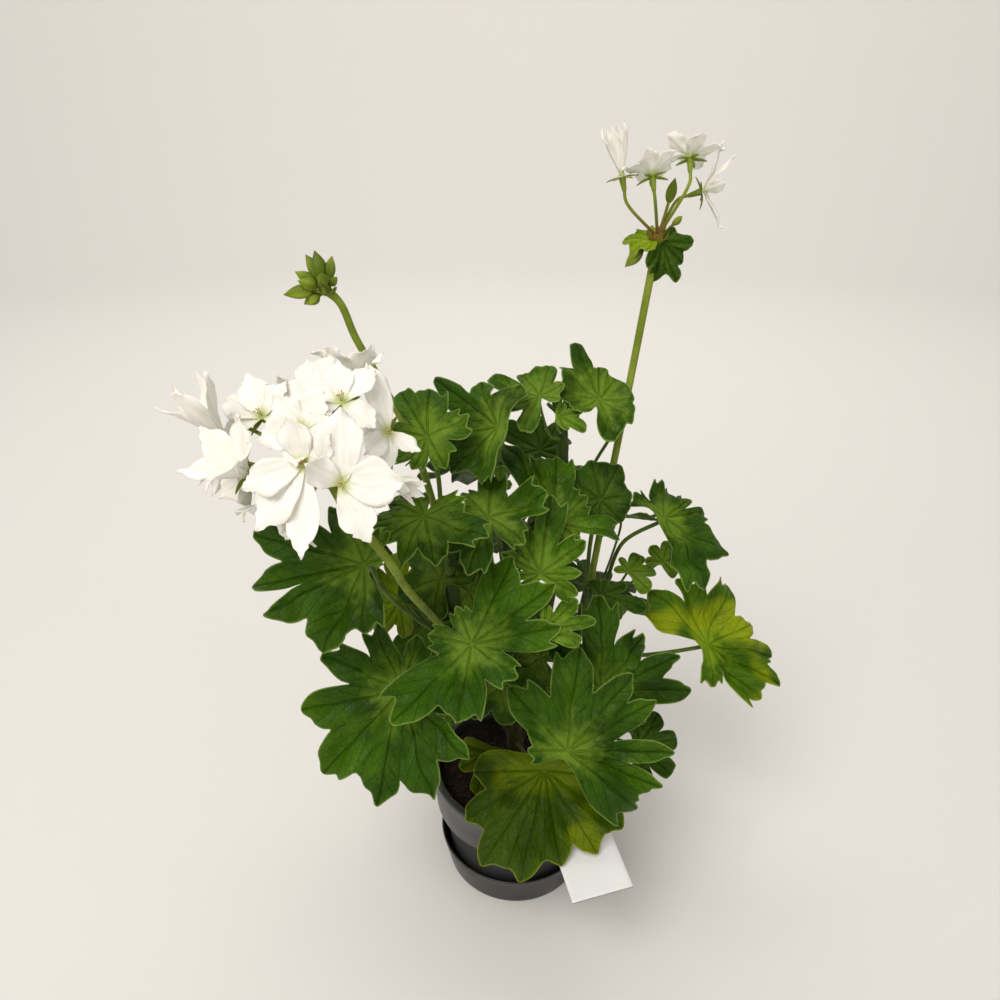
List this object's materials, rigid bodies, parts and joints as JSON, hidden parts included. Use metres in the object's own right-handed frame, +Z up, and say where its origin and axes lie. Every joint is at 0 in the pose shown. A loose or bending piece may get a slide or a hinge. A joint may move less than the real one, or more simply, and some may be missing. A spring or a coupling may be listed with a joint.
{
  "type": "potted star-leaved geranium",
  "caption": "Potted zonal geranium with deeply cut star-shaped leaves, spiky white flower heads and green buds, in a small round nursery pot standing in a shallow cup",
  "frame": {"origin": "middle of the cup's flat underside, on the pot's axis, at floor level", "axes": "+Z up along the pot's axis; the side that is seen in the picture faces -Y; +X is to its right"},
  "size_m": [0.2888, 0.2255, 0.4382],
  "materials": {
    "cup_plastic": "satin",
    "pot_plastic": "satin",
    "soil_compost": "matte",
    "label_card": "satin",
    "stem_green": "satin",
    "leaf_green": "satin",
    "leaf_yellow": "satin",
    "flower_green": "satin",
    "petal_white": "matte"
  },
  "bodies": {
    "root": {"cup": "cup_plastic", "pot": "pot_plastic", "soil": "soil_compost", "label": "label_card", "stems": "stem_green", "leaf_left_wide": "leaf_green", "leaf_left_low": "leaf_green", "leaf_centre_folded": "leaf_green", "leaf_front_right": "leaf_green", "leaf_right_low": "leaf_green", "leaf_left_mid": "leaf_green", "leaf_centre_mid": "leaf_green", "leaf_front_mid": "leaf_green", "leaf_centre_high": "leaf_green", "leaf_left_high": "leaf_green", "leaf_crown_left": "leaf_green", "leaf_crown_young": "leaf_green", "leaf_crown_right": "leaf_green", "leaf_crown_small": "leaf_green", "leaf_crown_dark": "leaf_green", "leaf_right_dark": "leaf_green", "leaf_right_high": "leaf_green", "leaf_right_far": "leaf_green", "leaf_right_small": "leaf_green", "leaf_right_back": "leaf_green", "leaf_right_mid": "leaf_green", "leaf_right_edge": "leaf_green", "leaf_right_under": "leaf_green", "leaf_front_drooping": "leaf_yellow", "leaf_front_old": "leaf_yellow", "leaf_left_yellow": "leaf_yellow", "leaf_young_front": "leaf_green", "leaf_back_left": "leaf_green", "leaf_back_middle": "leaf_green", "leaf_back_right": "leaf_green", "leaf_back_high": "leaf_green", "leaf_back_crown": "leaf_green", "leaf_left_far": "leaf_green", "leaf_back_low": "leaf_green", "left_head_stalks": "flower_green", "top_head_stalks": "flower_green", "bud_head": "flower_green", "petals_left_far": "petal_white", "petals_left_top": "petal_white", "petals_left_cup": "petal_white", "petals_left_behind": "petal_white", "petals_left_front": "petal_white", "petals_left_opening": "petal_white", "petals_left_low": "petal_white", "petals_left_drooping": "petal_white", "petals_top_left": "petal_white", "petals_top_right": "petal_white"}
  },
  "joints": []
}
